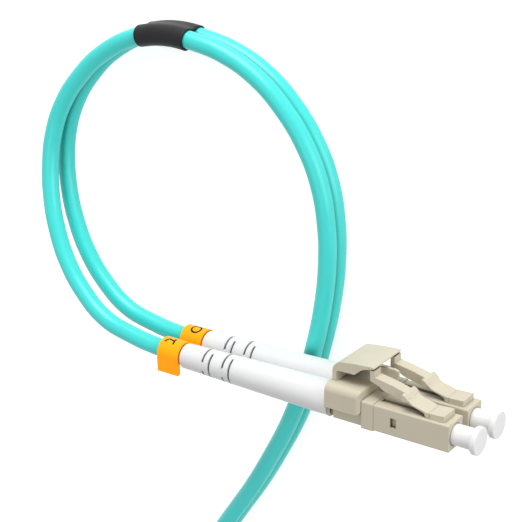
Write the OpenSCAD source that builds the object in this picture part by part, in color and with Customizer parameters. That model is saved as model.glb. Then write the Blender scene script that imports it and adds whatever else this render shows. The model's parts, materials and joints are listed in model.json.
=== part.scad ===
// Duplex fibre optic patch cord: two plugs side by side in a clip with a shared
// trigger at each end, joined by a zip cord whose two strands part at a split sleeve.
// The near end lies in the model's frame: +X out of the plugs' front faces, the two
// plugs above each other along Z, and their latches towards +Y. The cord lies on the
// table below. Each plug is modelled in its own frame: +X forward, +Z towards its
// latch, the ferrule on the X axis and the front face at x = 0.

/* [Plug nose] */
// Spacing of the two ferrules in a duplex end
plug_pitch = 6.25; // [6.2:0.05:6.8]
// Width and height of the square nose
nose_w = 4.5; // [4.3:0.05:4.6]
// Length of the nose, from its front face to the collar
nose_l = 13; // [12.5:0.25:14]
// Length of the collar behind the nose
collar_l = 2.1; // [1.6:0.1:2.6]
// How far the collar stands out from the nose
collar_step = 0.15; // [0.05:0.01:0.2]
// Diameter of the front bore, which takes an adapter's sleeve
front_bore_d = 3.6; // [3.5:0.05:3.7]
// Depth of the front bore
front_bore_depth = 4.6; // [4:0.1:5]
// Thickness of the wall that the ferrule's hub seats on
seat_wall = 0.7; // [0.5:0.1:1]
// Diameter of the chamber behind that wall
chamber_d = 3.4; // [3.3:0.05:3.5]
// Length of the snap windows in the sides
window_l = 1.05; // [0.8:0.05:1.3]
// Height of the snap windows
window_h = 1.6; // [1.2:0.1:1.8]
// Distance from the front face to the middle of the windows
window_at = 9.5; // [9.2:0.1:10]

/* [Ferrule] */
// Diameter of the ferrule
ferrule_d = 1.25; // [1.2:0.01:1.3]
// How far the ferrule stands out of the nose
ferrule_out = 1.8; // [1.5:0.1:2]
// How far the ferrule floats back against its spring
ferrule_float = 0.8; // [0.5:0.1:1]
// Diameter of the fibre's tight buffer
buffer_d = 0.9; // [0.8:0.05:1]
// Wire diameter of the ferrule spring
spring_wire = 0.35; // [0.3:0.05:0.4]
// Turns of the ferrule spring
spring_turns = 5; // [4:1:6]

/* [Latch] */
// Width of the latch at its root
latch_root_w = 3.4; // [3:0.1:3.6]
// Width of the latch lever behind the catches
latch_lever_w = 2; // [1.8:0.1:2.4]
// Width over the two catches
catch_w = 3.7; // [3.6:0.05:4.2]
// Distance from the front face to the front of the root
latch_set_back = 1.1; // [0.8:0.1:1.3]
// Distance from the front face to the latch's bending line
latch_pivot_x = 4; // [3.8:0.1:4.4]
// Height of the root above the nose
latch_root_h = 1; // [0.9:0.05:1.1]
// Distance from the front face to the rear end of the lever
latch_end_x = 14.4; // [14.2:0.1:14.6]

/* [Duplex clip] */
// Height of the clip's flat top over the ferrule axis
clip_top = 3.9; // [3.7:0.05:4.1]
// How far the clip's side walls reach below the ferrule axis
clip_skirt = 0.15; // [0:0.05:0.5]
// Thickness of the clip's side walls
clip_wall = 0.78; // [0.6:0.02:0.9]
// Width of the trigger plate
trigger_w = 8.4; // [8:0.1:9]
// Height of the trigger's front edge over the ferrule axis
trigger_top = 7.75; // [7.6:0.05:8]
// Thickness of the trigger's rear wall
trigger_wall = 0.7; // [0.6:0.05:0.8]
// Distance from the front face to the trigger's front edge
trigger_front_x = 13.7; // [13.5:0.05:13.9]
// Thickness of the fin between the two latches
fin_t = 0.5; // [0.4:0.1:1]

/* [Rear body] */
// Width and height of the rear body inside the clip
rear_w = 4.3; // [4.2:0.05:4.4]
// Length of the rear body behind the collar
rear_l = 6.4; // [6:0.1:7]
// Diameter of the spigot that the cord is crimped on
spigot_d = 3.1; // [3:0.05:3.2]
// Length of the spigot
spigot_l = 5.6; // [5:0.1:6]
// Wall thickness of the crimp sleeve
crimp_wall = 0.3; // [0.25:0.05:0.35]
// Length of the crimp sleeve
crimp_l = 9; // [8:0.5:9.5]

/* [Boot and cap] */
// Diameter of the boot at the clip
boot_front_d = 5.6; // [5.4:0.05:5.7]
// Diameter of the boot at its tail
boot_tail_d = 4.4; // [4.2:0.05:4.6]
// Length of the boot
boot_l = 29.9; // [28:0.1:30.5]
// Width of the boot's flexing slots
boot_slot_w = 0.4; // [0.3:0.05:0.5]
// Diameter of the dust cap's barrel
cap_barrel_d = 3.4; // [3.3:0.05:3.45]
// Diameter of the dust cap's rim
cap_rim_d = 4.5; // [4.2:0.1:5]
// Thickness of the rim
cap_rim_t = 1; // [0.8:0.1:1.2]
// How far the dust cap stands out of the nose
cap_out = 4.3; // [4:0.1:4.6]
// How far the dust cap goes into the nose
cap_in = 3; // [2.5:0.1:3.5]

/* [Cord] */
// Diameter of one strand of the cord
strand_d = 3.1; // [3:0.05:3.1]
// Wall thickness of the split sleeve
sleeve_t = 0.35; // [0.25:0.05:0.5]
// Length of a polarity marker
marker_l = 4.4; // [3.5:0.1:4.8]
// Wall thickness of a polarity marker
marker_t = 0.7; // [0.5:0.05:0.8]
// Radius of the coil's outer turn, at the cord's centre
coil_r = 39; // [39:0.5:42]
// Width of the coil's tie
tie_w = 6; // [4:0.5:8]

/* [Fits] */
// Clearance of a running fit, on the radius
running_gap = 0.05; // [0.02:0.01:0.08]
// Clearance between fixed plastic parts
seat_gap = 0.05; // [0.03:0.01:0.08]
// Gap between the cord and the boots that cross over it
cross_gap = 0.3; // [0.2:0.05:0.6]

/* [Hidden] */
$fn = 48;
ENDS = ["near", "far"];
SIDES = ["a", "b"];
PLUG_PIECES = [
    "front_housing", "latch_lever", "ferrule", "ferrule_hub", "ferrule_spring",
    "rear_body", "crimp_sleeve", "boot", "dust_cap", "buffered_fibre", "marker", "leg"
];
END_PIECES = ["clip_body", "trigger", "split_sleeve"];

// Colours
BEIGE = "#CFC7B0";
CLIP_BEIGE = "#C9C1AB";
WHITE = "#F2F2F2";
AQUA = "#51DBD6";
ORANGE = "#F99F12";
BLACK = "#3A3A3A";
METAL = "#B9BCC0";

// Places along a plug, measured from its front face
nose_half = nose_w / 2;
collar_x = -nose_l;
rear_x = collar_x - collar_l;
rear_end_x = rear_x - rear_l;
spigot_end_x = rear_end_x - spigot_l;
boot_x = rear_end_x - seat_gap;
boot_end_x = boot_x - boot_l;
crimp_x = rear_end_x - 0.4;
crimp_bore = max(spigot_d, strand_d) + 2 * seat_gap;
crimp_d = crimp_bore + 2 * crimp_wall;
crimp_lip = 0.075;
crimp_lip_l = 0.6;
jacket_x = spigot_end_x - 0.2;
hub_x = -front_bore_depth - seat_wall;
hub_flange_l = 1.3;
hub_tail_l = 2.9;
hub_end_x = hub_x - hub_flange_l - hub_tail_l;
spring_seat_x = -13;

// Latch pivot and trigger pivot
latch_pivot = [-latch_pivot_x, nose_half + latch_root_h / 2 - 0.03];
knuckle_r = 0.42;
latch_top = nose_half + latch_root_h;
latch_groove_w = 1;
latch_groove_depth = 0.3;
lever_gap = 0.1;
trigger_pivot = [rear_end_x + 0.65, clip_top - 0.15];
trigger_knuckle_r = 0.45;

// Groove in the rear body, for the clip's rib
groove_x = rear_end_x + 0.45;
groove_l = 0.7;
groove_depth = 0.55;

// Clip walls round the rear bodies
pocket_half = rear_w / 2 + seat_gap;
clip_half_w = plug_pitch / 2 + pocket_half + clip_wall;
clip_x = rear_x - seat_gap;
clip_corner_r = 1.3;

// Cord levels. The table is as low as the zip cord that passes under both boots needs
zip_w = 2 * strand_d;
table_z = -(plug_pitch / 2 + boot_front_d / 2 + cross_gap + zip_w);
sleeve_h = zip_w + 2 * sleeve_t;
turn_pitch = strand_d + 0.3;
tie_t = 0.6;

// Route of the near legs behind their boots: x, y, and how far the pair has come down
// and together, from 0 at the boots to 1 at the split sleeve
near_leg_route = [
    [-57, 0.1, 0], [-63.5, 0.8, 0.02], [-70, 2.4, 0.05], [-75.5, 6, 0.12],
    [-79.8, 10.5, 0.21], [-83, 15.5, 0.33], [-85.3, 21, 0.47], [-86.4, 27, 0.61],
    [-86, 32.5, 0.7], [-84, 38, 0.78], [-80.5, 43, 0.86], [-75.3, 47.7, 0.94], [-67.5, 51.4, 1]
];
// Route of the near split sleeve: x, y, and the height of its middle over the table
near_sleeve_route = [[-67.5, 51.4, 3.5], [-63.7, 52.05, 3.5], [-59.9, 52.15, 3.5], [-56, 51.7, 3.5]];
// Route of the zip cord, round its loop, under the boots and on to the coil
zip_route = [
    [-56, 51.7, 3.5], [-50, 50.2, 3.2], [-43.5, 47, 3.1], [-38, 42.2, 3.1], [-34, 36.8, 3.1],
    [-31.4, 31, 3.1], [-30.1, 24.5, 3.1], [-29.9, 17.5, 3.1], [-30.8, 9.5, 3.1], [-32.6, 1.5, 3.1],
    [-35, -6.5, 3.1], [-37.8, -13.8, 3.1], [-41.5, -21.2, 3.1], [-45.7, -28.7, 3.1],
    [-50.5, -36.2, 3.1], [-59.2, -49.7, 3.2], [-68, -63.4, 3.5], [-76.8, -77, 3.7]
];
// The coil's turns lie side by side on the table, wound inwards
coil_centre = [-44, -98];
coil_turns = 1.95;
coil_outer = coil_r + strand_d / 2 + 0.1;
coil_inner = coil_r - turn_pitch * coil_turns - strand_d / 2 - 0.1;
coil_h = zip_w + tie_t;
tie_angle = 300;
// Route of the zip cord from the inner turn, up, over the other turns and out
tail_route = [
    [-64.3, -73.2, 3.7], [-69.3, -78.6, 5.4], [-73.2, -84.8, 8], [-75.9, -91.6, 9.9],
    [-77.4, -98.8, 10.2], [-77.9, -106.1, 10.2], [-77, -113.4, 10.1], [-74.6, -120.6, 10.1],
    [-70.6, -127.4, 10], [-65.3, -132.9, 9.8], [-60.1, -137, 9.4], [-54.5, -140.2, 8.8]
];
far_sleeve_route = [
    [-54.5, -140.2, 8.8], [-51, -142, 7.8], [-47.3, -143.1, 6.7], [-43.5, -143.6, 5.6]
];
// Route of the far legs: x, y, height of the pair's middle, and how far it has spread
far_leg_route = [
    [-43.5, -143.6, 5.6, 0], [-37, -143.2, 4.3, 0], [-30.5, -141.6, 3.7, 0.05],
    [-24, -139, 3.6, 0.15], [-18, -135.4, 3.7, 0.25], [-12.5, -131, 3.9, 0.4],
    [-7.5, -125.4, 4.3, 0.55], [-3.5, -119, 4.8, 0.7], [-0.6, -112, 5.4, 0.82],
    [1.1, -104.5, 5.8, 0.92], [1.8, -97, 6, 0.98], [2, -90.5, 6.1, 1]
];
// Front faces of the far plugs, which point along +Y with their latches towards +X
far_front = [2, -34];
far_z = table_z + clip_half_w;

// ---------------------------------------------------------------- helpers

function mix(a, b, t) = a + (b - a) * t;

function arc(c, r, from, to, n = 10) =
    [for (i = [0:n]) c + r * [cos(mix(from, to, i / n)), sin(mix(from, to, i / n))]];

// Side of a plug in its pair: the upper plug of the near end is side a
function side_sign(s) = s == "a" ? -1 : 1;

// Sideways direction, in plan, at point i of a route
function across(p, i) =
    let (d = p[min(i + 1, len(p) - 1)] - p[max(i - 1, 0)], l = norm([d[0], d[1]]))
    [-d[1] / l, d[0] / l, 0];

// A tube along a route: each ring is upright, w wide and h high, with flat ends
module swept_tube(points, w, h, sides) {
    n = len(points);
    rings = [
        for (i = [0:n - 1], k = [0:sides - 1])
        let (a = 360 * (k + 0.5) / sides, side = across(points, i))
        points[i] + side * (w / 2 * cos(a)) + [0, 0, h / 2 * sin(a)]
    ];
    walls = [
        for (i = [0:n - 2], k = [0:sides - 1])
        let (a = i * sides + k, b = i * sides + (k + 1) % sides)
        each [[a, a + sides, b], [b, a + sides, b + sides]]
    ];
    caps = [
        [for (k = [0:sides - 1]) k],
        [for (k = [0:sides - 1]) n * sides - 1 - k]
    ];
    polyhedron(rings, concat(walls, caps), convexity = 6);
}

// A profile in the plug's X-Z plane, extruded w wide about the plug's axis
module side_profile(points, w) {
    rotate([90, 0, 0]) translate([0, 0, -w / 2]) linear_extrude(w) polygon(points);
}

// A cylinder across the plug, for a pivot at [x, z]
module cross_pin(at, r, w) {
    translate([at[0], w / 2, at[1]]) rotate([90, 0, 0]) cylinder(r = r, h = w);
}

// A cylinder along the plug's axis, from x to x + l
module along(x, d, l) {
    translate([x, 0, 0]) rotate([0, 90, 0]) cylinder(d = d, h = l);
}

// A bar along the plug's axis with its four long edges rounded
module rounded_bar(x, l, half, r) {
    translate([x, 0, 0]) rotate([90, 0, 90]) linear_extrude(l) union() {
        square([2 * half, 2 * (half - r)], center = true);
        square([2 * (half - r), 2 * half], center = true);
        for (sx = [-1, 1], sy = [-1, 1]) translate([sx * (half - r), sy * (half - r)]) circle(r);
    }
}

module at_end(e) {
    if (e == "near") rotate([-90, 0, 0]) children();
    else translate([far_front[0], far_front[1], far_z]) rotate([0, 0, 90]) rotate([90, 0, 0]) children();
}

module at_plug(e, s) {
    at_end(e) translate([0, side_sign(s) * plug_pitch / 2, 0]) children();
}

// ---------------------------------------------------------------- plug pieces

module front_housing() color(BEIGE) {
    difference() {
        union() {
            rounded_bar(collar_x, nose_l, nose_half, 0.25);
            rounded_bar(rear_x, collar_l, nose_half + collar_step, 0.3);
            latch_root();
        }
        along(-front_bore_depth, front_bore_d, front_bore_depth + 1);
        along(-front_bore_depth - seat_wall - 0.1, ferrule_d + 0.6, seat_wall + 0.2);
        along(rear_x - 1, chamber_d, -rear_x + 1 - front_bore_depth - seat_wall);
        // snap windows for the rear body, through both side walls
        translate([-window_at - window_l / 2, -nose_w, -window_h / 2]) cube([window_l, 2 * nose_w, window_h]);
        // groove in the top that the latch dips into
        translate([collar_x + 0.3, -latch_groove_w / 2, nose_half - latch_groove_depth])
            cube([nose_l - latch_pivot_x - 1.2, latch_groove_w, 1]);
    }
}

// Root of the latch: a block on top of the nose with a hollow for the lever's knuckle
module latch_root() {
    difference() {
        side_profile([
            [-latch_set_back, nose_half - 0.4], [-latch_set_back, latch_top],
            [latch_pivot[0], latch_top - 0.12], [latch_pivot[0], nose_half - 0.4]
        ], latch_root_w);
        cross_pin(latch_pivot, knuckle_r + running_gap, latch_root_w + 1);
    }
}

// Lever: a low, wide plate in front that ends in the two catches, then a narrower arm
// that rises to the turned-up rear end. Its profiles are measured from the bending line
module latch_lever() color(BEIGE) {
    end_x = -latch_end_x - latch_pivot[0];
    lip_x = end_x + 0.75;
    lip_top = trigger_under(-latch_end_x) - lever_gap - latch_pivot[1];
    plate = [
        [0, -knuckle_r], [0, knuckle_r], [-1.4, 0.78], [-2.2, 0.93], [-2.7, 1.13], [-3.1, 1.43],
        [-3.3, 1.62], [-3.3, 1.1], [-2, 0.66], [-0.6, 0.25]
    ];
    arm_over = [
        [-2, 0.75], [-2.7, 1], [-3.1, 1.43], [-3.4, 1.78], [-3.8, 2.18], [-4.25, 2.35],
        [-6.2, 2.88], [-8, 3.2]
    ];
    arm_under = [
        [-9.3, 2.38], [-8.7, 2.1], [-8.2, 1.72], [-7.5, 1.5], [-6.3, 1.2], [-4.8, 0.85],
        [-3.3, 0.6], [-2.2, 0.55], [-1.2, 0.42]
    ];
    catch_profile = [
        [-3.45, 1.21], [-3.22, 1.43], [-3.42, 1.8], [-3.8, 2.16], [-4.25, 2.34], [-4.5, 2.18],
        [-4.5, 1.55], [-4.2, 1.18]
    ];
    translate([latch_pivot[0], 0, latch_pivot[1]]) {
        side_profile(plate, latch_root_w);
        side_profile(concat(
            arm_over, [[lip_x, lip_top - 1.02], [lip_x, lip_top], [end_x, lip_top], [end_x, 2.73]],
            arm_under
        ), latch_lever_w);
        cross_pin([0, 0], knuckle_r, latch_root_w);
        // the two catches, which hold the plug in an adapter
        side_profile(catch_profile, catch_w);
    }
}

module ferrule() color("#FAFAF5") {
    difference() {
        along(hub_x - 0.9, ferrule_d, ferrule_out - hub_x + 0.9);
        along(hub_x - 1, 0.3, ferrule_out - hub_x + 2);
    }
}

module ferrule_hub() color(METAL) {
    flange_r = chamber_d / 2 - 2 * running_gap;
    difference() {
        union() {
            // six flats on the flange keep the ferrule from turning
            intersection() {
                along(hub_x - hub_flange_l, 2 * flange_r, hub_flange_l - 0.02);
                translate([hub_x - hub_flange_l, 0, 0]) rotate([0, 90, 0])
                    cylinder(r = flange_r * 1.08, h = hub_flange_l, $fn = 6);
            }
            along(hub_end_x, 1.7, hub_tail_l + 0.1);
            along(hub_x - 0.1, ferrule_d + 0.45, 0.45);
        }
        along(hub_x - 0.95, ferrule_d, 2);
        along(hub_end_x - 1, buffer_d + 0.15, 1 + 1.9);
    }
}

// Coil spring from the hub's flange to the rear body, as one swept wire
module ferrule_spring() color(METAL) {
    mean_r = 1.15;
    steps = 10;
    sides = 5;
    x_front = hub_x - hub_flange_l - spring_wire / 2 - 0.02;
    x_back = spring_seat_x + spring_wire / 2 + 0.02;
    count = spring_turns * steps;
    points = [
        for (i = [0:count], k = [0:sides - 1])
        let (turn = 360 * i / steps, a = 360 * k / sides, r = mean_r + spring_wire / 2 * cos(a))
        [mix(x_back, x_front, i / count) + spring_wire / 2 * sin(a), r * cos(turn), r * sin(turn)]
    ];
    walls = [
        for (i = [0:count - 1], k = [0:sides - 1])
        let (a = i * sides + k, b = i * sides + (k + 1) % sides)
        each [[a, b, a + sides], [b, b + sides, a + sides]]
    ];
    ends = [
        [for (k = [0:sides - 1]) sides - 1 - k],
        [for (k = [0:sides - 1]) count * sides + k]
    ];
    polyhedron(points, concat(walls, ends), convexity = 12);
}

module rear_body() color(BEIGE) {
    tube_front = -window_at + window_l / 2 + 0.35;
    tube_r = chamber_d / 2 - seat_gap;
    difference() {
        union() {
            along(rear_x, 2 * tube_r, -rear_x + tube_front);
            rounded_bar(rear_end_x, rear_l, rear_w / 2, 0.3);
            along(spigot_end_x, spigot_d, spigot_l);
            // snap tabs that fill the housing's windows
            for (s = [-1, 1])
                translate([-window_at - window_l / 2 + seat_gap, s > 0 ? tube_r - 0.3 : -tube_r - 0.05, -window_h / 2 + seat_gap])
                    cube([window_l - 2 * seat_gap, 0.35, window_h - 2 * seat_gap]);
        }
        along(spring_seat_x, 2.8, 10);
        along(spigot_end_x - 1, 1.4, 30);
        clip_groove();
    }
}

// Groove round the rear body that the duplex clip's rib drops into
module clip_groove() {
    inner = rear_w / 2 - groove_depth;
    difference() {
        translate([groove_x, -rear_w, -rear_w]) cube([groove_l, 2 * rear_w, 2 * rear_w]);
        translate([groove_x - 1, -inner, -inner]) cube([groove_l + 2, 2 * inner, 2 * inner]);
    }
}

module crimp_sleeve() color(METAL) {
    difference() {
        union() {
            along(crimp_x - crimp_l, crimp_d, crimp_l);
            along(crimp_x - crimp_lip_l, crimp_d + 2 * crimp_lip, crimp_lip_l);
        }
        along(crimp_x - crimp_l - 1, crimp_bore, crimp_l + 2);
    }
}

// Strain relief boot: a long taper with two pairs of half-round flexing slots
module boot() color(WHITE) {
    tail_round = 0.5;
    bore = strand_d + 2 * seat_gap;
    cavity = crimp_d + 2 * crimp_lip + 2 * seat_gap;
    slot_at = [4.95, 6.35, 9.1, 10.5];
    difference() {
        rotate([0, 90, 0]) rotate_extrude($fn = 64) polygon(concat(
            [[0, boot_end_x], [boot_tail_d / 2 - tail_round, boot_end_x]],
            arc([boot_tail_d / 2 - tail_round, boot_end_x + tail_round], tail_round, -90, 0, 5),
            [[boot_front_d / 2, boot_x - 3], [boot_front_d / 2, boot_x], [0, boot_x]]
        ));
        along(boot_end_x - 1, bore, boot_l + 2);
        along(crimp_x - crimp_l - 0.3, cavity, boot_l);
        for (i = [0:3]) flexing_slot(boot_end_x + slot_at[i], i % 2 == 0 ? 90 : 0);
    }
}

// Two arcs cut through the boot's wall, with bridges left between them
module flexing_slot(x, turn) {
    bridge = 1.5;
    rotate([turn, 0, 0]) difference() {
        along(x, boot_front_d + 1, boot_slot_w);
        along(x - 1, strand_d + 2 * seat_gap + 0.3, boot_slot_w + 2);
        translate([x - 1, -bridge / 2, -boot_front_d]) cube([boot_slot_w + 2, bridge, 2 * boot_front_d]);
    }
}

module dust_cap() color(WHITE) {
    difference() {
        union() {
            along(-cap_in, cap_barrel_d, cap_in + cap_out - cap_rim_t);
            rotate([0, 90, 0]) rotate_extrude($fn = 64) polygon(concat(
                [[0, cap_out - cap_rim_t]],
                arc([cap_rim_d / 2 - 0.2, cap_out - cap_rim_t + 0.2], 0.2, -90, 0, 3),
                arc([cap_rim_d / 2 - 0.2, cap_out - 0.2], 0.2, 0, 90, 3),
                [[0, cap_out]]
            ));
        }
        along(-cap_in - 1, ferrule_d + 2 * running_gap, cap_in + 1 + ferrule_out + 0.3);
    }
}

module buffered_fibre() color(AQUA) {
    along(jacket_x + 0.05, buffer_d, hub_end_x + 0.9 - jacket_x - 0.05);
}

// Polarity marker: a clip over the strand with one long flat leg on the outer side
module marker(s) color(ORANGE) {
    inner = strand_d / 2 + 0.1;
    outer = inner + marker_t;
    long_leg = 3.05;
    short_leg = 1.3;
    translate([boot_end_x - seat_gap - marker_l, 0, 0]) scale([1, side_sign(s), 1])
        rotate([90, 0, 90]) linear_extrude(marker_l) difference() {
            union() {
                circle(outer);
                translate([0, -long_leg]) square([outer, long_leg]);
            }
            circle(inner);
            translate([-inner, -long_leg - 1]) square([2 * inner, long_leg + 1]);
            translate([-outer - 1, -long_leg - 1]) square([outer + 1, long_leg + 1 - short_leg]);
        }
}

// ---------------------------------------------------------------- clip and trigger

// Block of the clip: its section across, cut to rounded fronts from the side and above
module clip_block(l) {
    nose_r = 0.8;
    intersection() {
        translate([rear_end_x, 0, 0]) rotate([90, 0, 90]) linear_extrude(l) union() {
            translate([-clip_half_w, -clip_skirt])
                square([2 * clip_half_w, clip_top + clip_skirt - clip_corner_r]);
            translate([-clip_half_w + clip_corner_r, -clip_skirt])
                square([2 * (clip_half_w - clip_corner_r), clip_top + clip_skirt]);
            for (s = [-1, 1])
                translate([s * (clip_half_w - clip_corner_r), clip_top - clip_corner_r]) circle(clip_corner_r);
        }
        side_profile(concat(
            [[rear_end_x, -clip_skirt]],
            arc([clip_x - nose_r, nose_r - clip_skirt], nose_r, -90, 0, 6),
            arc([clip_x - 0.4, clip_top - 0.4], 0.4, 0, 90, 4),
            [[rear_end_x, clip_top]]
        ), 3 * clip_half_w);
        translate([0, 0, -clip_half_w]) linear_extrude(3 * clip_half_w) polygon(concat(
            [[rear_end_x, -clip_half_w]],
            arc([clip_x - nose_r, nose_r - clip_half_w], nose_r, -90, 0, 6),
            arc([clip_x - nose_r, clip_half_w - nose_r], nose_r, 0, 90, 6),
            [[rear_end_x, clip_half_w]]
        ));
    }
}

// Clip that snaps over both rear bodies from above
module clip_body() color(CLIP_BEIGE) {
    l = clip_x - rear_end_x;
    pitch = plug_pitch / 2;
    difference() {
        union() {
            clip_block(l);
            clip_fin();
        }
        for (s = [-1, 1]) difference() {
            translate([rear_end_x - 1, s * pitch - pocket_half, -clip_skirt - 1])
                cube([l + 2, 2 * pocket_half, pocket_half + clip_skirt + 1]);
            // ribs that drop into the rear body's groove
            translate([groove_x + seat_gap, s * pitch - pocket_half - 1, -clip_skirt - 2])
                difference() {
                    cube([groove_l - 2 * seat_gap, 2 * pocket_half + 2, pocket_half + clip_skirt + 3]);
                    rib = pocket_half - groove_depth + seat_gap;
                    translate([-1, pocket_half + 1 - rib, -1]) cube([groove_l + 2, 2 * rib, rib + clip_skirt + 3]);
                }
        }
        cross_pin(trigger_pivot, trigger_knuckle_r + running_gap, trigger_w + 2 * running_gap);
        translate([trigger_pivot[0] - trigger_knuckle_r - running_gap, -trigger_w / 2 - running_gap, trigger_pivot[1]])
            cube([2 * (trigger_knuckle_r + running_gap), trigger_w + 2 * running_gap, 1]);
    }
}

// Fin that stands between the two latch levers and stops the trigger
module clip_fin() {
    foot = nose_half + 0.4;
    top = clip_top + 2.43;
    front = clip_x + 3.5;
    side_profile([
        [clip_x - 1, foot], [front - 0.7, foot], [front, top - 1.6], [front, top - 0.3],
        [front - 0.15, top - 0.12], [front - 0.7, top], [front - 1.7, top], [clip_x + 0.6, top - 0.14],
        [clip_x + 0.05, top - 0.3], [clip_x - 0.25, clip_top - 0.2], [clip_x - 1, clip_top - 0.2]
    ], fin_t);
}

// Height of the trigger plate's underside at x, over the lever ends
function trigger_under(x) = trigger_top - 0.25 - (-trigger_front_x - x) * 0.26;

// Trigger: a rear wall that bends over into a plate above both latch levers
module trigger() color(CLIP_BEIGE) {
    back = trigger_pivot[0] - trigger_wall / 2;
    inner = back + trigger_wall;
    tip = -trigger_front_x;
    thin_x = tip - 1.75;
    side_profile(concat(
        [[back, trigger_pivot[1]]],
        arc([back + 1.9, trigger_top - 2.35], 1.9, 180, 98, 8),
        [[tip - 3.4, trigger_top - 0.17], [tip - 0.9, trigger_top], [tip - 0.1, trigger_top]],
        [[tip, trigger_top - 0.12], [tip, trigger_under(tip)], [thin_x, trigger_under(thin_x)]],
        [[tip - 2.4, trigger_top - 1.05], [tip - 2.9, trigger_top - 1.52]],
        arc([tip - 3.8, trigger_top - 1.25], 0.8, -60, -110, 5),
        [[inner + 0.5, trigger_top - 2.1]],
        arc([inner + 0.4, trigger_top - 2.5], 0.4, 90, 180, 4),
        [[inner, trigger_pivot[1]]]
    ), trigger_w);
    cross_pin(trigger_pivot, trigger_knuckle_r, trigger_w);
}

// ---------------------------------------------------------------- cord

function above_table(route) = [for (p = route) p + [0, 0, table_z]];

// Height of a strand's centre at the near end, f of the way down to the split sleeve
function near_strand_z(s, f) =
    mix(0, table_z + near_sleeve_route[0][2], f) - side_sign(s) * mix(plug_pitch, strand_d, f) / 2;

function near_leg_points(s) = concat(
    [for (x = [jacket_x, boot_end_x - 1]) [x, 0, near_strand_z(s, 0)]],
    [for (p = near_leg_route) [p[0], p[1], near_strand_z(s, p[2])]]
);

// The strands change places at the far end: the upper one goes to plug b there
function far_leg_points(s) = concat(
    [for (p = far_leg_route)
        [p[0], p[1], table_z + p[2] + side_sign(s) * mix(strand_d, plug_pitch, p[3]) / 2]],
    [for (x = [boot_end_x - 1, jacket_x])
        [far_front[0], far_front[1] + x, far_z + side_sign(s) * plug_pitch / 2]]
);

module leg(e, s) color(AQUA) {
    swept_tube(e == "near" ? near_leg_points(s) : far_leg_points(s), strand_d, strand_d, 8);
}

module split_sleeve(e) color(BLACK) {
    route = e == "near" ? near_sleeve_route : far_sleeve_route;
    swept_tube(above_table(route), strand_d + 2 * sleeve_t, sleeve_h, 12);
}

module zip_cord() color(AQUA) {
    swept_tube(above_table(zip_route), strand_d, zip_w, 8);
}

module zip_cord_tail() color(AQUA) {
    swept_tube(above_table(tail_route), strand_d, zip_w, 8);
}

// Outer shape of the wound turns, which lie on the tie's band
module cord_coil() color(AQUA) {
    translate([coil_centre[0], coil_centre[1], table_z]) difference() {
        rotate_extrude($fn = 96) translate([coil_inner, 0]) square([coil_outer - coil_inner, coil_h]);
        rotate([0, 0, tie_angle]) translate([0, -tie_w / 2, -1]) cube([coil_outer + 1, tie_w, 1 + tie_t]);
    }
}

module coil_tie() color(BLACK) {
    gap = 0.05;
    // the flat band stands off the ring's inner wall by the wall's bow across the band
    inner = sqrt(coil_inner * coil_inner - tie_w * tie_w / 4) - gap;
    outer = coil_outer + gap;
    translate([coil_centre[0], coil_centre[1], table_z]) rotate([0, 0, tie_angle]) difference() {
        translate([inner - tie_t, -tie_w / 2 + gap, 0])
            cube([outer - inner + 2 * tie_t, tie_w - 2 * gap, coil_h + gap + tie_t]);
        translate([inner, -tie_w, tie_t - gap])
            cube([outer - inner, 2 * tie_w, coil_h - tie_t + 2 * gap]);
    }
}

// ---------------------------------------------------------------- nodes

for (e = ENDS, s = SIDES) {
    at_plug(e, s) front_housing();
    at_plug(e, s) latch_lever();
    at_plug(e, s) ferrule();
    at_plug(e, s) ferrule_hub();
    at_plug(e, s) ferrule_spring();
    at_plug(e, s) rear_body();
    at_plug(e, s) crimp_sleeve();
    at_plug(e, s) boot();
    at_plug(e, s) dust_cap();
    at_plug(e, s) buffered_fibre();
    at_plug(e, s) marker(s);
    leg(e, s);
}
for (e = ENDS) {
    at_end(e) clip_body();
    at_end(e) trigger();
    split_sleeve(e);
}
zip_cord();
zip_cord_tail();
cord_coil();
coil_tie();
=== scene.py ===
# %% [markdown]
# # A fibre optic patch cord
#
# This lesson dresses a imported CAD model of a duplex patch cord: a pair of plugs at each end,
# joined by a cord of two strands. The rigid pieces come from the CAD frame and only get their
# finish here. What is soft, the cord, the heat-shrink sleeves and the coil's tie, is made here,
# because its look comes from curves and not from flat faces. Blender and the CAD frame work in
# metres. A cord's sizes are easier to read in millimetres, so they are written that way and
# multiplied by MM.

# %% Load the frame
import json
import math

import bpy
from mathutils import Matrix, Vector


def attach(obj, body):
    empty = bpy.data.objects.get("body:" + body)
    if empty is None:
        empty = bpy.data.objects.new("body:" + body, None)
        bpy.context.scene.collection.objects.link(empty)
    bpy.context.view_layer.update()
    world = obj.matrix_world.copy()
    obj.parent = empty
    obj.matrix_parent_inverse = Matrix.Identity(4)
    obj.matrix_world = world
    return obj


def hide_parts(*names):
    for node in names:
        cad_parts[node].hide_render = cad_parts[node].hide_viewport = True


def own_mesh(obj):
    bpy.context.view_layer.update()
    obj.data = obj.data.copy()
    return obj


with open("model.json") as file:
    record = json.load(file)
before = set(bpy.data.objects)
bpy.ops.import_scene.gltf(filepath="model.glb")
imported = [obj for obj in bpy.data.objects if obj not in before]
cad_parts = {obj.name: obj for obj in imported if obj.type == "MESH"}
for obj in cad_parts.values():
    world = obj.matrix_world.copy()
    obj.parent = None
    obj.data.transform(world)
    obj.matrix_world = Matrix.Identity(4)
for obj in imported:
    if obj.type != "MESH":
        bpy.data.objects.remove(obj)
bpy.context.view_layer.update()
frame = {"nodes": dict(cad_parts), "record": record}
nodes = frame["nodes"]
MM = 0.001
print("CAD nodes:", len(nodes))

# %% [markdown]
# ## Camera
#
# The camera stands 220 mm from the cord and looks down on the plugs. It is laid over, so that
# the side of the plugs with the latches points up in the picture. So the camera's axes are worked
# out from the latch side, and a small roll is added.

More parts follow.
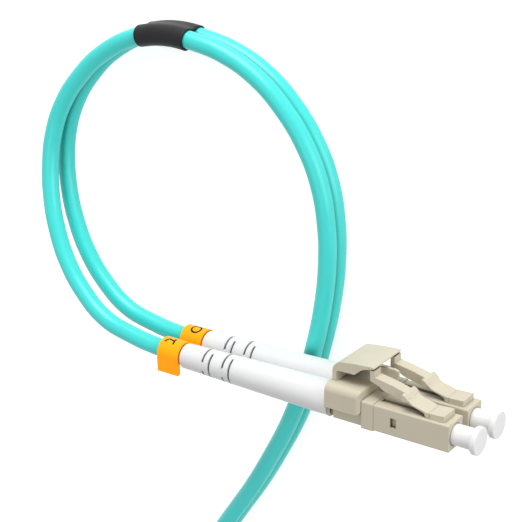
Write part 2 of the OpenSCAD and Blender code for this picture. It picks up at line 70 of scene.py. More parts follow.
# %% Camera
CAMERA_AT = Vector((82.88, 97.89, 168.66)) * MM
LOOKS_AT = Vector((-36.65, 19.7, 1.31)) * MM
LATCH_SIDE = Vector((0, 1, 0))
ROLL = math.radians(-0.96)
LENS_MM = 94.4
SENSOR_MM = 36
NEAREST_SEEN_MM = 10

back = (CAMERA_AT - LOOKS_AT).normalized()
right = LATCH_SIDE.cross(back).normalized()
up = back.cross(right)
right, up = (
    right * math.cos(ROLL) + up * math.sin(ROLL),
    up * math.cos(ROLL) - right * math.sin(ROLL),
)
camera_data = bpy.data.cameras.new("camera")
camera_data.lens = LENS_MM
camera_data.sensor_width = SENSOR_MM
camera_data.clip_start = NEAREST_SEEN_MM * MM
camera = bpy.data.objects.new("camera", camera_data)
axes = Matrix((right, up, back)).transposed().to_4x4()
camera.matrix_world = Matrix.Translation(CAMERA_AT) @ axes
bpy.context.scene.collection.objects.link(camera)
bpy.context.scene.camera = camera
print("camera to cord, mm:", round((CAMERA_AT - LOOKS_AT).length / MM))

# %% [markdown]
# ## The cord's routes
#
# Each route repeats the CAD model's points in millimetres. A Bezier spline with automatic handles
# runs smoothly through them, as a jacketed fibre does, which never kinks. Each leg is one round
# strand. The zip cord is two strands joined by a thin web, and it lies on its edge.
#
# The table lies so low that the zip cord just passes under the boots. Heights in the routes are
# counted from the table. The last number of a leg's point goes from 0 to 1: on a near leg it is
# how far the strand has come down from its plug and in to its twin, and on a far leg how far it
# has gone out from its twin to its plug.

# %% Sizes that the routes share
STRAND_D = 3.1
PLUG_PITCH = 6.25
BOOT_END_X = -51.45
JACKET_X = -27.3
BOOT_FRONT_D = 5.6
CROSS_GAP = 0.3
CLIP_HALF_W = 6.105
TABLE_Z = -(PLUG_PITCH / 2 + BOOT_FRONT_D / 2 + CROSS_GAP + 2 * STRAND_D)
FAR_FRONT = (2, -34)
FAR_Z = TABLE_Z + CLIP_HALF_W
SIDES = {"a": -1, "b": 1}
print("table, mm below the plugs' middle:", round(-TABLE_Z, 2))

# %% Route points
NEAR_LEG = [
    (-57, 0.1, 0), (-63.5, 0.8, 0.02), (-70, 2.4, 0.05), (-75.5, 6, 0.12),
    (-79.8, 10.5, 0.21), (-83, 15.5, 0.33), (-85.3, 21, 0.47), (-86.4, 27, 0.61),
    (-86, 32.5, 0.7), (-84, 38, 0.78), (-80.5, 43, 0.86), (-75.3, 47.7, 0.94), (-67.5, 51.4, 1),
]
NEAR_SLEEVE = [(-67.5, 51.4, 3.5), (-63.7, 52.05, 3.5), (-59.9, 52.15, 3.5), (-56, 51.7, 3.5)]
ZIP = [
    (-56, 51.7, 3.5), (-50, 50.2, 3.2), (-43.5, 47, 3.1), (-38, 42.2, 3.1), (-34, 36.8, 3.1),
    (-31.4, 31, 3.1), (-30.1, 24.5, 3.1), (-29.9, 17.5, 3.1), (-30.8, 9.5, 3.1), (-32.6, 1.5, 3.1),
    (-35, -6.5, 3.1), (-37.8, -13.8, 3.1), (-41.5, -21.2, 3.1), (-45.7, -28.7, 3.1),
    (-50.5, -36.2, 3.1), (-59.2, -49.7, 3.2), (-68, -63.4, 3.5),
]
COIL_CENTRE = (-44, -98)
COIL_R = 39
COIL_TURNS = 1.95
COIL_START = 147.5
TURN_PITCH = 3.4
COIL_Z = 3.7
KNOTS_PER_TURN = 24
ZIP_TAIL = [
    (-69.3, -78.6, 5.4), (-73.2, -84.8, 8), (-75.9, -91.6, 9.9),
    (-77.4, -98.8, 10.2), (-77.9, -106.1, 10.2), (-77, -113.4, 10.1), (-74.6, -120.6, 10.1),
    (-70.6, -127.4, 10), (-65.3, -132.9, 9.8), (-60.1, -137, 9.4), (-54.5, -140.2, 8.8),
]
FAR_SLEEVE = [(-54.5, -140.2, 8.8), (-51, -142, 7.8), (-47.3, -143.1, 6.7), (-43.5, -143.6, 5.6)]
FAR_LEG = [
    (-43.5, -143.6, 5.6, 0), (-37, -143.2, 4.3, 0), (-30.5, -141.6, 3.7, 0.05),
    (-24, -139, 3.6, 0.15), (-18, -135.4, 3.7, 0.25), (-12.5, -131, 3.9, 0.4),
    (-7.5, -125.4, 4.3, 0.55), (-3.5, -119, 4.8, 0.7), (-0.6, -112, 5.4, 0.82),
    (1.1, -104.5, 5.8, 0.92), (1.8, -97, 6, 0.98), (2, -90.5, 6.1, 1),
]
print("route points:", len(NEAR_LEG) + len(ZIP) + len(ZIP_TAIL) + len(FAR_LEG))


# %% Whole routes
def mix(a, b, t):
    return a + (b - a) * t


def above_table(route):
    return [(x, y, TABLE_Z + z) for x, y, z in route]


INSIDE_BOOT = (JACKET_X, mix(JACKET_X, BOOT_END_X, 0.5), BOOT_END_X - 1)


def near_leg_points(side):
    """A strand from inside its boot to the middle of the split sleeve."""
    sign = SIDES[side]
    points = [(x, 0, -sign * PLUG_PITCH / 2) for x in INSIDE_BOOT]
    for x, y, f in NEAR_LEG:
        middle = mix(0, TABLE_Z + NEAR_SLEEVE[0][2], f)
        points.append((x, y, middle - sign * mix(PLUG_PITCH, STRAND_D, f) / 2))
    x, y, z = above_table(NEAR_SLEEVE)[1]
    return points + [(x, y, z - sign * STRAND_D / 2)]


def far_leg_points(side):
    """A strand from the middle of the far split sleeve to inside its boot."""
    sign = SIDES[side]
    x, y, z = above_table(FAR_SLEEVE)[2]
    points = [(x, y, z + sign * STRAND_D / 2)]
    for x, y, z, f in FAR_LEG:
        points.append((x, y, TABLE_Z + z + sign * mix(STRAND_D, PLUG_PITCH, f) / 2))
    for along in reversed(INSIDE_BOOT):
        points.append((FAR_FRONT[0], FAR_FRONT[1] + along, FAR_Z + sign * PLUG_PITCH / 2))
    return points


def zip_points():
    """The zip cord from the near sleeve, round its loop and the coil, to the far sleeve."""
    coil = []
    steps = round(COIL_TURNS * KNOTS_PER_TURN)
    for i in range(steps):
        turned = 360 * COIL_TURNS * i / steps
        angle = math.radians(COIL_START + turned)
        r = COIL_R - TURN_PITCH * turned / 360
        coil.append((
            COIL_CENTRE[0] + r * math.cos(angle),
            COIL_CENTRE[1] + r * math.sin(angle),
            TABLE_Z + COIL_Z,
        ))
    start, end = NEAR_SLEEVE[2:3], FAR_SLEEVE[1:2]
    return above_table(start + ZIP) + coil + above_table(ZIP_TAIL + end)


def length_of(points):
    return sum((Vector(b) - Vector(a)).length for a, b in zip(points, points[1:])) * MM


stretches = [
    near_leg_points("a"), NEAR_SLEEVE[1:3], zip_points(), FAR_SLEEVE[1:3], far_leg_points("a"),
]
total = 2 * -JACKET_X * MM + sum(length_of(points) for points in stretches)
print("whole cord between its plugs' front faces, mm:", round(total / MM))

# %% [markdown]
# ## Cord curves
#
# A curve with a bevel is the right tool: Blender sweeps the section along the line, and the
# line's own length stays exact. The twist mode Z Up keeps the zip cord on its edge all along.
# Its section is drawn once as a closed outline: two circles that meet in a narrow web, which
# leaves a deep crease on both sides.


# %% Curve helpers
def spline_curve(name, points, half_width):
    """A smooth open curve through points given in millimetres.

    half_width becomes the knots' radius, which Blender also takes for the curve's box, and the
    bevel is one unit, which that radius scales down."""
    curve = bpy.data.curves.new(name, "CURVE")
    curve.dimensions = "3D"
    curve.twist_mode = "Z_UP"
    curve.resolution_u = 12
    curve.use_fill_caps = True
    spline = curve.splines.new("BEZIER")
    spline.bezier_points.add(len(points) - 1)
    for knot, point in zip(spline.bezier_points, points):
        knot.co = Vector(point) * MM
        knot.handle_left_type = knot.handle_right_type = "AUTO"
        knot.radius = half_width * MM
    obj = bpy.data.objects.new(name, curve)
    bpy.context.scene.collection.objects.link(obj)
    return obj


def strand(name, points):
    obj = spline_curve(name, points, STRAND_D / 2)
    obj.data.bevel_depth = 1
    obj.data.bevel_resolution = 10
    return obj


def figure_eight(strand_offset, steps=18):
    """Outline of two strands, one above the other, that meet where their circles cross."""
    r = STRAND_D / 2
    start = math.degrees(math.asin(strand_offset / r))
    outline = []
    for sign in (1, -1):
        for i in range(steps + 1):
            angle = math.radians(mix(-start, 180 + start, i / steps))
            across = sign * r * math.cos(angle)
            outline.append((across, sign * (strand_offset + r * math.sin(angle))))
    return outline


# %% Section of the zip cord
STRAND_OFFSET = 1.49
ZIP_HALF_H = STRAND_OFFSET + STRAND_D / 2
section = bpy.data.curves.new("zip_section", "CURVE")
section_line = section.splines.new("POLY")
section_line.use_cyclic_u = True
section_outline = figure_eight(STRAND_OFFSET)
section_line.points.add(len(section_outline) - 1)
for point, (across, tall) in zip(section_line.points, section_outline):
    point.co = (across / ZIP_HALF_H, tall / ZIP_HALF_H, 0, 1)
section_object = bpy.data.objects.new("zip_section", section)
section_object.hide_render = True
print("zip cord, mm:", STRAND_D, "by", round(2 * ZIP_HALF_H, 2))

# %% Near strands
ROOT = "cord_assembly"
legs = {}
for side, sign in SIDES.items():
    points = near_leg_points(side)
    leg = legs["near", side] = strand(f"near_strand_{side}", points)
    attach(leg, ROOT)
    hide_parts(f"near_leg_{side}")
    length_of(points)
    print(leg.name, "mm:", round(length_of(points) / MM))

# %% Zip cord
zip_cord = spline_curve("zip_cord_jacket", zip_points(), ZIP_HALF_H)
zip_cord.data.bevel_mode = "OBJECT"
zip_cord.data.bevel_object = section_object
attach(zip_cord, ROOT)
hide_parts("zip_cord", "zip_cord_tail", "cord_coil")
length_of(zip_points())
print(zip_cord.name, "mm:", round(length_of(zip_points()) / MM))

# %% [markdown]
# ## Springs behind the ferrules
#
# A coiled spring presses each ferrule forward, and shortens as the ferrule is pushed back. It
# could be wound here from a helix, but the CAD spring already has the right wire and turns. So a
# copy of it stands for it, with a mesh of its own. The springs are made before the far strands.

# %% Copies of the CAD springs
springs = {}
for end, along in (("near", 0), ("far", 1)):
    for side in SIDES:
        node = nodes[f"{end}_ferrule_spring_{side}"]
        spring = bpy.data.objects.new(f"{end}_hub_spring_{side}", node.data.copy())
        spring.matrix_world = node.matrix_world.copy()
        bpy.context.scene.collection.objects.link(spring)
        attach(spring, ROOT)
        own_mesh(spring)
        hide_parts(node.name)
        springs[end, side] = spring

# %% Far strands
for side, sign in SIDES.items():
    points = far_leg_points(side)
    leg = legs["far", side] = strand(f"far_strand_{side}", points)
    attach(leg, ROOT)
    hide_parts(f"far_leg_{side}")
    length_of(points)
    print(leg.name, "mm:", round(length_of(points) / MM))

# %% [markdown]
# ## Heat-shrink sleeves
#
# Where the strands part, a black tube was slipped over both and shrunk with hot air. It grips
# the two strands, spans the crease between them with a slight dip, and its cut ends show the
# wall. The outline is a stadium with a waist. It is swept along the cord and folded in at both
# ends, because only the first millimetres of the inside can be seen.


# %% Loft helpers
def smooth_path(points, per_span):
    """A Catmull-Rom line through the points, with per_span steps between each two."""
    points = [Vector(p) for p in points]
    ends = [2 * points[0] - points[1]] + points + [2 * points[-1] - points[-2]]
    path = []
    for a, b, c, d in zip(ends, ends[1:], ends[2:], ends[3:]):
        for i in range(per_span):
            t = i / per_span
            bend = (2 * a - 5 * b + 4 * c - d) * t * t
            path.append(0.5 * (2 * b + (c - a) * t + bend + (3 * b - a - 3 * c + d) * t ** 3))
    return path + [points[-1]]


def loft(name, rings, body, closed=False):
    """A smooth skin over rings of points in millimetres.

    A closed one joins its last ring to its first."""
    size = len(rings[0])
    faces = []
    for i in range(len(rings) if closed else len(rings) - 1):
        ring, following = i * size, (i + 1) % len(rings) * size
        for k in range(size):
            beside = (k + 1) % size
            faces.append((ring + k, following + k, following + beside, ring + beside))
    mesh = bpy.data.meshes.new(name)
    mesh.from_pydata([tuple(Vector(p) * MM) for ring in rings for p in ring], [], faces)
    mesh.polygons.foreach_set("use_smooth", [True] * len(faces))
    obj = bpy.data.objects.new(name, mesh)
    bpy.context.scene.collection.objects.link(obj)
    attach(obj, body)
    return obj


# %% Sleeves
SLEEVE_WALL = 0.35
SLEEVE_PLAY = 0.03
CUT_ROUNDING = 0.08
CUT_SETBACK = 0.1
WAIST, WAIST_GROWS, WAIST_AT_CUT, WAIST_INSIDE = 0.06, 0.16, 0.22, 0.3
SLEEVE_STEPS = 12


def waisted_outline(r, dip, steps=14):
    """Two half circles of radius r round the strands, joined by sides that dip to a waist."""
    outline = []
    for sign in (1, -1):
        for i in range(steps):
            angle = math.pi * i / steps
            tall = sign * (STRAND_D / 2 + r * math.sin(angle))
            outline.append((sign * r * math.cos(angle), tall))
        for i in range(steps):
            t = i / steps
            across = -sign * (r - dip * math.sin(math.pi * t) ** 2)
            outline.append((across, sign * STRAND_D / 2 * (1 - 2 * t)))
    return outline


def sleeve(end, route, cut):
    """A shrunk tube along a route. cut is how many of the path's steps its two ends fall short."""
    path = smooth_path(above_table(route), SLEEVE_STEPS)
    path = path[cut[0]:len(path) - cut[1]]
    last = len(path) - 1

    def outer(i):
        dip = WAIST + WAIST_GROWS * abs(2 * i / last - 1) ** 6
        return waisted_outline(STRAND_D / 2 + SLEEVE_WALL, dip)

    lip = waisted_outline(STRAND_D / 2 + SLEEVE_WALL - CUT_ROUNDING, WAIST_AT_CUT)
    inner = waisted_outline(STRAND_D / 2 + SLEEVE_PLAY, WAIST_INSIDE)
    stations = [(2, inner), (0, inner), (0, lip)] + [(i, outer(i)) for i in range(last + 1)]
    stations += [(last, lip), (last, inner), (last - 2, inner)]
    setbacks = {3: CUT_SETBACK, len(stations) - 4: -CUT_SETBACK}
    rings = []
    for at, (i, outline) in enumerate(stations):
        ahead = (path[min(i + 1, last)] - path[max(i - 1, 0)]).normalized()
        side = ahead.cross(Vector((0, 0, 1))).normalized()
        rise = side.cross(ahead)
        setback = setbacks.get(at, 0) * ahead
        rings.append([path[i] + side * u + rise * v + setback for u, v in outline])
    obj = loft(f"{end}_heat_shrink", rings, ROOT)
    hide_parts(f"{end}_split_sleeve")
    return obj


sleeves = [sleeve("near", NEAR_SLEEVE, (1, 3)), sleeve("far", FAR_SLEEVE, (3, 1))]
print("sleeves' faces:", [len(o.data.polygons) for o in sleeves])

# %% [markdown]
# ## The coil's tie
#
# A strip of hook-and-loop holds the turns. It runs under the cord, up both sides and over the
# top, where its end lies on itself. Its corners are round because it is soft. The second layer
# begins in a smooth step across the top.

# %% Tie
TIE_T = 0.6
TIE_W = 5.9
TIE_ANGLE = 300
TIE_PLAY = 0.08
TIE_CORNER_R = 1.3
TIE_SECOND_LAYER = 0.55
SECOND_LAYER_FROM = 2.4
SECOND_LAYER_STEEP = 3
CORNER_STEPS = 8
TOP_STEPS = 12


def tie_section(out, overlap):
    """The strip's line round the turns: distance from the coil's centre, height over the table."""
    turned = (TIE_ANGLE - COIL_START) % 360
    r_outer = COIL_R - TURN_PITCH * turned / 360 + STRAND_D / 2 + TIE_PLAY
    r_inner = r_outer - TURN_PITCH - STRAND_D - 2 * TIE_PLAY
    low, high, corner = TIE_T, TIE_T + 2 * STRAND_D + TIE_PLAY, TIE_CORNER_R

    def half_step(r):
        return 0.5 * math.tanh((r - r_inner - SECOND_LAYER_FROM) * SECOND_LAYER_STEEP)

    line = []
    for cx, cz, start in (
        (r_outer - corner, high - corner, 0), (r_inner + corner, high - corner, 90),
        (r_inner + corner, low + corner, 180), (r_outer - corner, low + corner, 270),
    ):
        for i in range(CORNER_STEPS + 1):
            angle = math.radians(start + 90 * i / CORNER_STEPS)
            r, z = cx + (corner + out) * math.cos(angle), cz + (corner + out) * math.sin(angle)
            on_top = start < 180
            lift = overlap * (0.5 + half_step(cx + corner * math.cos(angle))) if on_top else 0
            line.append((r, z + lift))
    top_from, top_to = line[CORNER_STEPS], line[CORNER_STEPS + 1]
    top = []
    for i in range(1, TOP_STEPS):
        r = mix(top_from[0], top_to[0], i / TOP_STEPS)
        top.append((r, top_from[1] - overlap * (0.5 - half_step(r))))
    return line[:CORNER_STEPS + 1] + top + line[CORNER_STEPS + 1:]


def tie_rings():
    place = math.radians(TIE_ANGLE)
    radial = Vector((math.cos(place), math.sin(place), 0))
    across = Vector((-radial.y, radial.x, 0))
    centre = Vector((COIL_CENTRE[0], COIL_CENTRE[1], TABLE_Z))
    inner, outer = tie_section(0.0, 0.0), tie_section(TIE_T, TIE_SECOND_LAYER)
    rings = []
    for (r0, z0), (r1, z1) in zip(inner, outer):
        corners = ((r0, z0, -1), (r1, z1, -1), (r1, z1, 1), (r0, z0, 1))
        rings.append([
            centre + radial * r + Vector((0, 0, z)) + across * side * TIE_W / 2
            for r, z, side in corners
        ])
    return rings


tie = loft("hook_and_loop_tie", tie_rings(), ROOT, closed=True)
tie.data.polygons.foreach_set("use_smooth", [False] * len(tie.data.polygons))
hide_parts("coil_tie")
print("tie's faces:", len(tie.data.polygons))

# %% [markdown]
# ## Numbers on the markers
#
# Each marker carries a plain number in black ink, so that the two strands can be told apart.
# The strokes are thin ribbons that lie on the marker's round back, a hundredth of a millimetre
# proud of it, as pad-printed ink is. A number stands along the strand: each stroke is a line of
# points in millimetres, first along the strand and then round it.

# %% Strokes of the numbers
MARKER_BACK_R = STRAND_D / 2 + 0.8
MARKER_AT = -53.7
STROKE_HALF_W = 0.16
STROKE_PAST_POINT = 0.07
STROKE_STEPS = 6
INK_PROUD = 0.01
ZERO_LONG, ZERO_WIDE = 0.92, 0.88
DIGITS = {
    "0": [[
        (ZERO_LONG * math.cos(math.radians(a)), ZERO_WIDE * math.sin(math.radians(a)))
        for a in range(0, 361, 30)
    ]],
    "1": [[(0.8, 0), (-0.5, -0.35), (-0.9, 0.5)], [(0.65, -0.7), (0.95, 0.7)]],
}


def printed_digit(name, digit, place):
    """Ribbons for a digit. place takes (along, angle in radians, distance from the axis)."""
    verts, faces = [], []
    for stroke in DIGITS[digit]:
        for (u0, v0), (u1, v1) in zip(stroke, stroke[1:]):
            length = math.hypot(u1 - u0, v1 - v0)
            du, dv = (u1 - u0) / length, (v1 - v0) / length
            first = len(verts)
            for i in range(STROKE_STEPS + 1):
                t = mix(-STROKE_PAST_POINT, length + STROKE_PAST_POINT, i / STROKE_STEPS)
                for side in (-STROKE_HALF_W, STROKE_HALF_W):
                    u, v = u0 + du * t - dv * side, v0 + dv * t + du * side
                    verts.append(place(u, v / MARKER_BACK_R, MARKER_BACK_R + INK_PROUD))
            for k in range(first, first + 2 * STROKE_STEPS, 2):
                faces.append((k, k + 1, k + 3, k + 2))
    mesh = bpy.data.meshes.new(name)
    mesh.from_pydata([tuple(Vector(v) * MM) for v in verts], [], faces)
    obj = bpy.data.objects.new(name, mesh)
    bpy.context.scene.collection.objects.link(obj)
    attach(obj, ROOT)
    return obj


# %% Numbers in their places
NEAR_TURN = math.radians(12)


def on_near_marker(side, shift):
    def place(u, angle, r):
        turn = angle + NEAR_TURN
        axis_z = -SIDES[side] * PLUG_PITCH / 2
        return (MARKER_AT + shift + u, r * math.cos(turn), axis_z + r * math.sin(turn))
    return place


def on_far_marker(side):
    def place(u, angle, r):
        axis_z = FAR_Z + SIDES[side] * PLUG_PITCH / 2
        along = FAR_FRONT[1] + MARKER_AT + u
        return (FAR_FRONT[0] + r * math.cos(angle), along, axis_z + r * math.sin(angle))
    return place


digits = []
for side, digit, shift in (("a", "1", -0.5), ("b", "0", 0.2)):
    digits.append(printed_digit(f"near_digit_{side}", digit, on_near_marker(side, shift)))
for side, digit in (("b", "1"), ("a", "0")):
    digits.append(printed_digit(f"far_digit_{side}", digit, on_far_marker(side)))
print("digits:", [obj.name for obj in digits])

# %% [markdown]
# ## Light and ground
#
# A large soft lamp stands beyond the latches, so the faces that look that way are pale and the
# sides a tone darker. A second lamp lights the plugs' front faces, and a small one straight
# overhead draws the narrow highlight along the cord. The world fills the shadows.
#
# The background is white because the camera is shown a world of strength 1 and a floor that
# glows, and so are reflections. The Light Path node tells these rays from the ones that light
# the cord, which meet a greyer world and a floor of plain paper. So the floor keeps its shadow.


# %% Shader helpers
def hex_colour(code):
    """An sRGB hex colour as the linear values that shaders take."""
    values = [int(code[i:i + 2], 16) / 255 for i in (0, 2, 4)]
    linear = [v / 12.92 if v <= 0.04045 else ((v + 0.055) / 1.055) ** 2.4 for v in values]
    return (*linear, 1.0)


def add_node(owner, kind, inputs=None, **settings):
    """Adds one node to a material or world, sets its options, and fills or links its inputs."""
    tree = owner.node_tree
    node = tree.nodes.new(kind)
    for name, value in settings.items():
        setattr(node, name, value)
    for name, value in (inputs or {}).items():
        if isinstance(value, bpy.types.NodeSocket):
            tree.links.new(value, node.inputs[name])
        else:
            node.inputs[name].default_value = value
    return node


def blank(owner):
    owner.use_nodes = True
    owner.node_tree.nodes.clear()
    return owner


def looked_at(owner):
    """1 for rays from the camera, from reflections and through glass, and 0 for the rest."""
    rays = add_node(owner, "ShaderNodeLightPath").outputs
    seen = rays["Is Camera Ray"]
    for kind in ("Is Glossy Ray", "Is Transmission Ray"):
        either = add_node(owner, "ShaderNodeMath", {0: seen, 1: rays[kind]}, operation="MAXIMUM")
        seen = either.outputs[0]
    return seen


# %% Lamps
LAMPS_AIM = Vector((-35, 10, -5)) * MM


def area_lamp(name, direction, distance, size, watts):
    """A square lamp that shines on the plugs from a direction, at a distance in mm."""
    data = bpy.data.lights.new(name, "AREA")
    data.size = size * MM
    data.energy = watts
    lamp = bpy.data.objects.new(name, data)
    lamp.location = LAMPS_AIM + Vector(direction).normalized() * distance * MM
    lamp.rotation_euler = (LAMPS_AIM - lamp.location).to_track_quat("-Z", "Y").to_euler()
    bpy.context.scene.collection.objects.link(lamp)
    print("lamp:", name, watts, "W")


area_lamp("key", (-0.05, 1, 0.2), 500, 300, 1.85)
area_lamp("side", (1.3, 0.4, 0.25), 500, 320, 0.92)
area_lamp("fill", (0, 0, 1), 500, 150, 0.16)

# %% World
WORLD_LIGHT, WORLD_SEEN = 0.45, 1.0
world = blank(bpy.data.worlds.new("studio"))
bpy.context.scene.world = world
strength = add_node(world, "ShaderNodeMapRange", {
    "Value": looked_at(world), "To Min": WORLD_LIGHT, "To Max": WORLD_SEEN,
})
sky = add_node(world, "ShaderNodeBackground", {
    "Color": hex_colour("FFFFFF"), "Strength": strength.outputs[0],
})
add_node(world, "ShaderNodeOutputWorld", {"Surface": sky.outputs[0]})
print("world lights at", WORLD_LIGHT, "and is seen at", WORLD_SEEN)

# %% Floor
FLOOR_REACH = 260 * MM
FLOOR_GLOW = 0.65
floor_z = TABLE_Z * MM
corners = [
    (-FLOOR_REACH, -FLOOR_REACH, floor_z), (FLOOR_REACH, -FLOOR_REACH, floor_z),
    (FLOOR_REACH, FLOOR_REACH, floor_z), (-FLOOR_REACH, FLOOR_REACH, floor_z),
]
floor_mesh = bpy.data.meshes.new("floor")
floor_mesh.from_pydata(corners, [], [(0, 1, 2, 3)])
floor = bpy.data.objects.new("floor", floor_mesh)
bpy.context.scene.collection.objects.link(floor)
paper = blank(bpy.data.materials.new("white_paper_sweep"))
seen = looked_at(paper)
matt = add_node(paper, "ShaderNodeBsdfDiffuse", {"Color": hex_colour("EDEDED")})
glow = add_node(paper, "ShaderNodeEmission", {
    "Color": hex_colour("FFFFFF"), "Strength": FLOOR_GLOW,
})
none = add_node(paper, "ShaderNodeEmission", {"Strength": 0.0})
lift = add_node(paper, "ShaderNodeMixShader", {0: seen, 1: none.outputs[0], 2: glow.outputs[0]})
both = add_node(paper, "ShaderNodeAddShader", {0: matt.outputs[0], 1: lift.outputs[0]})
add_node(paper, "ShaderNodeOutputMaterial", {"Surface": both.outputs[0]})
floor_mesh.materials.append(paper)
bpy.context.scene.view_settings.view_transform = "Standard"
print("floor, mm:", round(2 * FLOOR_REACH / MM), "square")

# %% [markdown]
# ## Plastics
#
# All the plastics here are moulded or extruded. Up close they differ in their colour, in how
# sharp and how strong their highlight is and in the fineness of their skin. Narrow gaps, slots
# and deep recesses get painted shade: Ambient Occlusion nodes find them, and the colour there is
# turned to a darker shade colour given for each plastic. One function builds a plastic from
# these, and each call below is one real material.
#
# The real skins have a grain of a few hundredths of a millimetre, too fine to show. It is drawn
# at a quarter to half a millimetre, as coarse as it needs to be, and only microns deep.

# %% Plastic recipe
DRIFT_MM = 6
ROUGHNESS_DRIFT = 0.04
# Limits of Ambient Occlusion for the painted shade in gaps and recesses.
GAP_SHUT = 0.16
RECESS_OPEN = 0.32
RECESS_TO_GAP = 3


def painted_gap_shade(material, surface, painted_shade, painted_shade_mm, open_at):
    """The surface's colour, turned to a painted shade in narrow gaps and in deep recesses."""
    gap = add_node(material, "ShaderNodeAmbientOcclusion", {"Distance": painted_shade_mm * MM}, samples=8)
    gap = add_node(material, "ShaderNodeMapRange", {
        "Value": gap.outputs["AO"], "From Min": GAP_SHUT, "From Max": open_at,
    })
    recess = add_node(
        material, "ShaderNodeAmbientOcclusion", {"Distance": RECESS_TO_GAP * painted_shade_mm * MM},
        samples=8,
    )
    recess = add_node(material, "ShaderNodeMapRange", {
        "Value": recess.outputs["AO"], "From Min": 0.0, "From Max": RECESS_OPEN,
    })
    opened = add_node(
        material, "ShaderNodeMath", {0: gap.outputs[0], 1: recess.outputs[0]}, operation="MINIMUM",
    )
    # Painted shade: the given darker colour is mixed in where the view out is closed.
    shaded = add_node(
        material, "ShaderNodeMix", {"Factor": opened.outputs[0], "B": surface}, data_type="RGBA",
    )
    shaded.inputs["A"].default_value = hex_colour(painted_shade)
    return shaded.outputs["Result"]


def plastic(
    name, colour, shade, roughness, grain_mm, grain_depth_mm,
    edge_mm=0.0, glow_mm=0.0, painted_shade="000000", painted_shade_mm=0.0, open_at=0.62, shine=0.5,
):
    """A plastic: its colour drifts a little towards a shade, and its skin has a fine grain.

    grain_mm is the size of the grain, grain_depth_mm its depth, edge_mm the radius that the
    tool left on its edges and glow_mm how far light wanders under its surface. The next two
    arguments paint shade: a darker colour laid into gaps of about the given size in millimetres,
    where less than open_at of the view out is free. shine is how strongly it reflects."""
    material = blank(bpy.data.materials.new(name))
    place = add_node(material, "ShaderNodeTexCoord").outputs["Object"]
    drift = add_node(material, "ShaderNodeTexNoise", {
        "Vector": place, "Scale": 1 / (DRIFT_MM * MM), "Detail": 3.0,
    })
    tint = add_node(material, "ShaderNodeMix", {"Factor": drift.outputs["Fac"]}, data_type="RGBA")
    tint.inputs["A"].default_value = hex_colour(colour)
    tint.inputs["B"].default_value = hex_colour(shade)
    grain = add_node(material, "ShaderNodeTexNoise", {
        "Vector": place, "Scale": 1 / (grain_mm * MM), "Detail": 4.0,
    })
    relief = {"Height": grain.outputs["Fac"], "Strength": 1.0, "Distance": grain_depth_mm * MM}
    if edge_mm:
        edge = add_node(material, "ShaderNodeBevel", {"Radius": edge_mm * MM}, samples=4)
        relief["Normal"] = edge.outputs[0]
    skin = add_node(material, "ShaderNodeBump", relief)
    rough = add_node(material, "ShaderNodeMapRange", {
        "Value": drift.outputs["Fac"],
        "To Min": roughness - ROUGHNESS_DRIFT, "To Max": roughness + ROUGHNESS_DRIFT,
    })
    surface = tint.outputs["Result"]
    # Painted shade in gaps and recesses, when a size for it is given.
    if painted_shade_mm:
        surface = painted_gap_shade(material, surface, painted_shade, painted_shade_mm, open_at)
    shader = add_node(material, "ShaderNodeBsdfPrincipled", {
        "Base Color": surface, "Roughness": rough.outputs[0], "IOR": 1.5,
        "Normal": skin.outputs[0], "Specular IOR Level": shine,
    })
    if glow_mm:
        shader.inputs["Subsurface Weight"].default_value = 0.3
        shader.inputs["Subsurface Radius"].default_value = (1, 1, 1)
        shader.inputs["Subsurface Scale"].default_value = glow_mm * MM
    add_node(material, "ShaderNodeOutputMaterial", {"Surface": shader.outputs[0]})
    return material


# %% The cord's plastics
materials = {
    # A soft halogen-free compound, extruded: satin, with a long pale highlight along the strand.
    "aqua_jacket": plastic(
        "extruded_halogen_free_jacket", "37E4DE", "31DFD9", 0.38, 0.5, 0.006,
        # Painted shade, dark teal, in the crease between the strands.
        painted_shade="0A7A70", painted_shade_mm=2.3, open_at=0.82, shine=0.8,
    ),
    # Nylon drawn tight on the fibre: harder and glossier than the jacket.
    "aqua_buffer": plastic("extruded_nylon_buffer", "5ADAD5", "4CCFC9", 0.3, 0.5, 0.004),
    # Polyolefin that shrank on the cord: matt, and slightly wrinkled by the heat.
    "black_heat_shrink": plastic(
        "polyolefin_heat_shrink", "262627", "2D2D2E", 0.45, 0.35, 0.02, shine=0.15,
    ),
}
print("plastics of the cord:", len(materials))

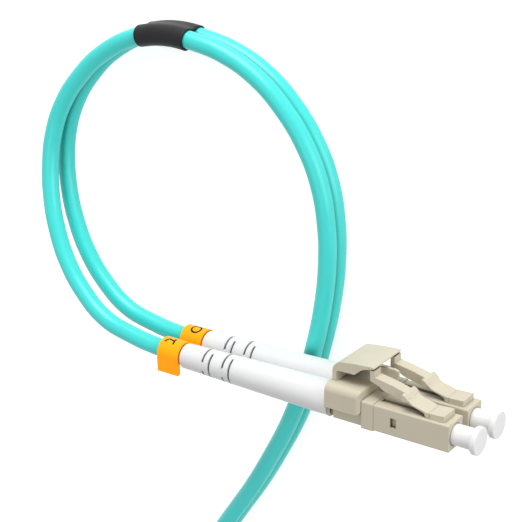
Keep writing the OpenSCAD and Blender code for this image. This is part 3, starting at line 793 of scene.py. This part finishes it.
# %% The plugs' plastics
materials |= {
    # A stiff amber resin filled to beige, moulded: flat colour, a soft sheen and crisp edges.
    "beige_plastic": plastic(
        "moulded_polyetherimide", "D6CEB9", "D0C7B1", 0.42, 0.25, 0.006,
        # Painted shade, dark green-grey, in the gaps and recesses.
        edge_mm=0.08, painted_shade="1C1E15", painted_shade_mm=1.3, shine=0.35,
    ),
    # A rubbery elastomer that bends in the boot: milky, so its shaded side stays light.
    "white_elastomer": plastic(
        "moulded_thermoplastic_elastomer", "F0F0F0", "EDEDED", 0.45, 0.3, 0.005,
        # Painted shade, grey, in the boot's slots and gaps.
        edge_mm=0.08, glow_mm=0.6, painted_shade="545454", painted_shade_mm=0.6,
    ),
    # Polyethylene, soft and waxy: the milkiest of all, with a blurred gloss.
    "white_plastic": plastic(
        "moulded_polyethylene", "F1F1F1", "EEEEEE", 0.32, 0.4, 0.004,
        # Painted shade, dark grey, in the gaps.
        edge_mm=0.1, glow_mm=0.8, painted_shade="3A3A3A", painted_shade_mm=0.6,
    ),
    # Polypropylene in a bright orange: a thin springy clip. A painted glow, added below, makes the
    # orange seem lit.
    "orange_plastic": plastic(
        "moulded_polypropylene", "FFBA08", "FFB606", 0.42, 0.3, 0.004,
        # Painted shade, dark brown, in the gaps and at the clip's edges.
        edge_mm=0.12, glow_mm=0.3, painted_shade="3A1400", painted_shade_mm=0.6, shine=0.2,
    ),
    # A ceramic, ground and polished: nearly white, with the sharpest highlight here.
    "zirconia": plastic("ground_zirconia", "F5F4EE", "F0EFE8", 0.12, 0.2, 0.001),
}
# Painted glow: the orange shader gives off light of its own, so the clip looks lit whatever the
# lamps do.
orange_nodes = materials["orange_plastic"].node_tree.nodes
painted_glow_shader = next(n for n in orange_nodes if n.type == "BSDF_PRINCIPLED")
painted_glow_shader.inputs["Emission Color"].default_value = hex_colour("FF5000")
painted_glow_shader.inputs["Emission Strength"].default_value = 0.3
print("plastics in all:", len(materials))

# %% [markdown]
# ## Metals and the tie's fabric
#
# The hubs, springs and crimp sleeves only show when a cap is pulled or from below. A metal keeps
# its default IOR: its look is its colour and how rough the plating or the drawn wire is. The tie
# is a woven band of hook-and-loop, and its pile is a coarse, deep noise.


# %% Metals and fabric
def metal(name, colour, roughness, scratch_mm):
    """A metal whose fine lines, scratch_mm apart, vary its roughness and its skin."""
    material = blank(bpy.data.materials.new(name))
    place = add_node(material, "ShaderNodeTexCoord").outputs["Object"]
    lines = add_node(material, "ShaderNodeTexNoise", {
        "Vector": place, "Scale": 1 / (scratch_mm * MM), "Detail": 5.0,
    })
    rough = add_node(material, "ShaderNodeMapRange", {
        "Value": lines.outputs["Fac"], "To Min": roughness - 0.08, "To Max": roughness + 0.08,
    })
    skin = add_node(material, "ShaderNodeBump", {
        "Height": lines.outputs["Fac"], "Distance": 0.002 * MM,
    })
    shader = add_node(material, "ShaderNodeBsdfPrincipled", {
        "Base Color": hex_colour(colour), "Metallic": 1.0,
        "Roughness": rough.outputs[0], "Normal": skin.outputs[0],
    })
    add_node(material, "ShaderNodeOutputMaterial", {"Surface": shader.outputs[0]})
    return material


materials |= {
    # Plated brass: a warm white metal, smooth from the bath.
    "nickel": metal("nickel_plated_brass", "CFCBC0", 0.25, 0.3),
    # Stainless wire, drawn through a die: cooler, with fine lines.
    "spring_steel": metal("drawn_stainless_wire", "B9BABC", 0.3, 0.2),
    # Tinned copper, pressed in the crimping tool: dull and a little marked.
    "crimp_metal": metal("tinned_copper_alloy", "C6C2B8", 0.35, 0.4),
    # Woven nylon: no highlight at all, and a deep pile.
    "hook_and_loop": plastic("woven_nylon_hook_and_loop", "161617", "232325", 0.9, 0.3, 0.12),
}
# Ink dries flat and matt.
ink = plastic("pad_printing_ink", "0C0A08", "100E0C", 0.6, 0.2, 0.001, shine=0.1)
print("materials:", len(materials) + 1)

# %% [markdown]
# ## Which piece gets which finish
#
# The record names a material slot for each CAD piece, and each piece made here is given the slot
# of what it stands for. The ink has no slot of its own: the digits are given the ink directly.

# %% Finish of the CAD nodes
for part in frame["record"]["subparts"]:
    node = nodes[part["node"]]
    node.data.materials.clear()
    node.data.materials.append(materials[part["material_slot"]])

# %% Finish of the pieces made here
finishes = [(leg, "aqua_jacket") for leg in legs.values()]
finishes += [(zip_cord, "aqua_jacket"), (tie, "hook_and_loop")]
finishes += [(obj, "black_heat_shrink") for obj in sleeves]
finishes += [(spring, "spring_steel") for spring in springs.values()]
for obj, slot in finishes:
    obj.data.materials.clear()
    obj.data.materials.append(materials[slot])
for obj in digits:
    obj.data.materials.append(ink)
print("pieces finished:", len(finishes) + len(digits))
